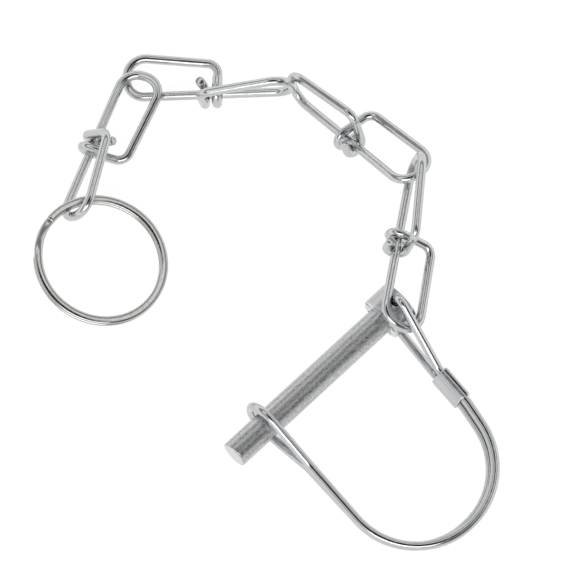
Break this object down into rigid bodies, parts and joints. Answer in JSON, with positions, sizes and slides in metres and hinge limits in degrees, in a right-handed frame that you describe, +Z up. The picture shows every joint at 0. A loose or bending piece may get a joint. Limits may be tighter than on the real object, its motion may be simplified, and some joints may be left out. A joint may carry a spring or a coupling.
{
  "type": "locking hitch pin",
  "caption": "Headed steel pin held by a sprung wire bow that locks round the tip, on a knotted wire chain with a split ring; it secures a hitch, tube or drawbar",
  "frame": {"origin": "on the pin's axis at the shoulder, where the head meets the shaft", "axes": "+X along the shaft to the tip, +Y to the bow, +Z up"},
  "size_m": [0.0839, 0.1364, 0.0235],
  "materials": {
    "pin_steel": "turned steel, dull zinc plate",
    "spring_wire": "drawn spring wire, bright zinc plate",
    "ferrule_sheet": "rolled sheet, bright zinc plate",
    "chain_wire": "drawn wire, bright zinc plate",
    "ring_strip": "coiled spring strip, bright nickel plate"
  },
  "bodies": {
    "pin": {"pin": "pin_steel"},
    "bow": {"bow_wire": "spring_wire", "ferrule": "ferrule_sheet"},
    "link_4": {"chain_link_4": "chain_wire"},
    "link_3": {"chain_link_3": "chain_wire"},
    "link_2": {"chain_link_2": "chain_wire"},
    "link_1": {"chain_link_1": "chain_wire"},
    "ring": {"split_ring": "ring_strip"}
  },
  "joints": [
    {"name": "bow_swing", "type": "hinge", "parent": "pin", "child": "bow", "pos_m": [-0.0042, 0, 0], "axis": [0, 0.1219, 0.9925], "range_deg": [0, 75], "deforming": ["bow_wire"]},
    {"name": "link_4_swing", "type": "hinge", "parent": "pin", "child": "link_4", "pos_m": [-0.0042, 0, 0], "axis": [0, 0.1219, 0.9925], "range_deg": [-20, 0]},
    {"name": "link_3_swing", "type": "hinge", "parent": "link_4", "child": "link_3", "pos_m": [-0.03117, -0.01966, 0.00812], "axis": [-0.2141, 0.1548, 0.9645], "range_deg": [-60, 15]},
    {"name": "link_2_swing", "type": "hinge", "parent": "link_3", "child": "link_2", "pos_m": [-0.02713, -0.05567, -0.00196], "axis": [-0.0649, -0.3466, 0.9358], "range_deg": [-60, 0]},
    {"name": "link_1_swing", "type": "hinge", "parent": "link_2", "child": "link_1", "pos_m": [-0.00353, -0.08522, -0.00849], "axis": [-0.7144, -0.6922, 0.1028], "range_deg": [-60, 0]},
    {"name": "ring_swing", "type": "hinge", "parent": "link_1", "child": "ring", "pos_m": [0.0306, -0.0676, -0.00298], "axis": [-0.242, 0.5736, 0.7826], "range_deg": [-60, 30]}
  ]
}
